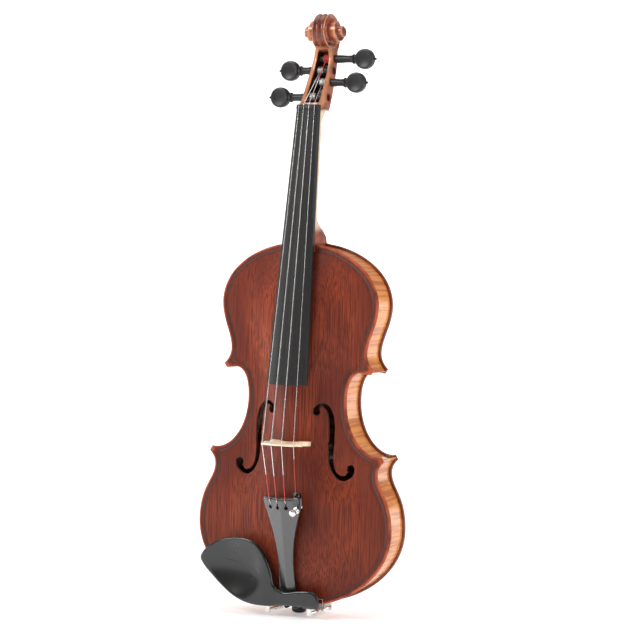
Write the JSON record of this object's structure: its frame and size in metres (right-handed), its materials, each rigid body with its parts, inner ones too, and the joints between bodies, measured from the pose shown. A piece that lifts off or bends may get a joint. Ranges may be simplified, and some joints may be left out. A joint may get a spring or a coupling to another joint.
{
  "type": "violin",
  "caption": "Full-size violin with hollow body, tapered tuning pegs, scroll head, arched bridge, fine tuner and a clamped chin rest.",
  "frame": {"origin": "middle of the neck just below the pegbox, where a hanger's yoke holds it", "axes": "+Z along the length from the end button to the scroll, belly faces -Y, treble side is +X"},
  "size_m": [0.208, 0.1046, 0.5906],
  "materials": {
    "varnish_plate": "gloss red-brown varnish over spruce belly and maple back",
    "varnish_rib": "gloss golden varnish over flamed maple",
    "varnish_neck": "red-brown varnished head, oiled shaft",
    "raw_wood": "bare willow and spruce",
    "bridge_wood": "fine unvarnished maple",
    "purfling": "dyed inlay",
    "ebony": "satin oiled ebony",
    "gut_polymer": "smooth black polymer cord",
    "brass": "turned brass",
    "string_metal": "fine silver and steel winding",
    "plated_steel": "bright nickel plate",
    "cork": "cork sheet"
  },
  "bodies": {
    "instrument": {"top_plate": "varnish_plate", "back_plate": "varnish_plate", "rib_upper_bass": "varnish_rib", "rib_upper_treble": "varnish_rib", "rib_centre_bass": "varnish_rib", "rib_centre_treble": "varnish_rib", "rib_lower_bass": "varnish_rib", "rib_lower_treble": "varnish_rib", "neck_block": "raw_wood", "end_block": "raw_wood", "corner_blocks": "raw_wood", "top_linings": "raw_wood", "back_linings": "raw_wood", "bass_bar": "raw_wood", "sound_post": "raw_wood", "top_purfling": "purfling", "back_purfling": "purfling", "neck": "varnish_neck", "fingerboard": "ebony", "nut": "ebony", "saddle": "ebony", "end_button": "ebony", "bridge": "bridge_wood", "tailpiece": "ebony", "tailpiece_fret": "ebony", "tailgut": "gut_polymer", "tailgut_nuts": "brass", "string_g": "string_metal", "string_d": "string_metal", "string_a": "string_metal", "string_e": "string_metal", "tuner_frame": "plated_steel", "tuner_ring_nut": "plated_steel", "chinrest_plate": "ebony", "chinrest_cork": "cork", "chinrest_bracket": "plated_steel"},
    "peg_g": {"peg_g": "ebony", "winding_g": "string_metal"},
    "peg_d": {"peg_d": "ebony", "winding_d": "string_metal"},
    "peg_a": {"peg_a": "ebony", "winding_a": "string_metal"},
    "peg_e": {"peg_e": "ebony", "winding_e": "string_metal"},
    "tuner_screw": {"tuner_screw": "plated_steel"},
    "tuner_knob": {"tuner_knob": "plated_steel"},
    "tuner_lever": {"tuner_lever": "plated_steel"},
    "clamp_foot": {"clamp_foot": "plated_steel", "clamp_foot_cork": "cork"},
    "barrel_bass": {"barrel_bass": "plated_steel"},
    "barrel_treble": {"barrel_treble": "plated_steel"}
  },
  "joints": [
    {"name": "peg_g_turn", "type": "hinge", "parent": "instrument", "child": "peg_g", "pos_m": [0, 0.0116, 0.0187], "axis": [-1, 0, 0], "continuous": true},
    {"name": "peg_d_turn", "type": "hinge", "parent": "instrument", "child": "peg_d", "pos_m": [0, 0.0255, 0.0458], "axis": [-1, 0, 0], "continuous": true},
    {"name": "peg_a_turn", "type": "hinge", "parent": "instrument", "child": "peg_a", "pos_m": [0, 0.03, 0.0577], "axis": [1, 0, 0], "continuous": true},
    {"name": "peg_e_turn", "type": "hinge", "parent": "instrument", "child": "peg_e", "pos_m": [0, 0.0187, 0.0338], "axis": [1, 0, 0], "continuous": true},
    {"name": "tuner_screw_travel", "type": "slide", "parent": "instrument", "child": "tuner_screw", "axis": [0, 0.9766, 0.2149], "range_m": [0, 0.003]},
    {"name": "tuner_knob_turn", "type": "hinge", "parent": "tuner_screw", "child": "tuner_knob", "pos_m": [0.0158, -0.051, -0.38429], "axis": [0, 0.9766, 0.2149], "range_deg": [0, 2162]},
    {"name": "tuner_lever_tilt", "type": "hinge", "parent": "instrument", "child": "tuner_lever", "pos_m": [0.0158, -0.04277, -0.36774], "axis": [1, 0, 0], "range_deg": [0, 12.2]},
    {"name": "barrel_bass_turn", "type": "hinge", "parent": "instrument", "child": "barrel_bass", "pos_m": [-0.0225, 0.0015, -0.485], "axis": [0, 1, 0], "range_deg": [0, 1081]},
    {"name": "barrel_treble_turn", "type": "hinge", "parent": "instrument", "child": "barrel_treble", "pos_m": [0.0225, 0.0015, -0.485], "axis": [0, 1, 0], "range_deg": [0, 1081]},
    {"name": "clamp_foot_travel", "type": "slide", "parent": "instrument", "child": "clamp_foot", "axis": [0, 1, 0], "range_m": [0, 0.0042]}
  ],
  "couplings": [
    {"joint": "tuner_knob_turn", "follows": "tuner_screw_travel", "rad_per_m": 12566},
    {"joint": "tuner_lever_tilt", "follows": "tuner_screw_travel", "rad_per_m": 69.813},
    {"joint": "barrel_bass_turn", "follows": "clamp_foot_travel", "rad_per_m": 4488},
    {"joint": "barrel_treble_turn", "follows": "clamp_foot_travel", "rad_per_m": 4488}
  ]
}
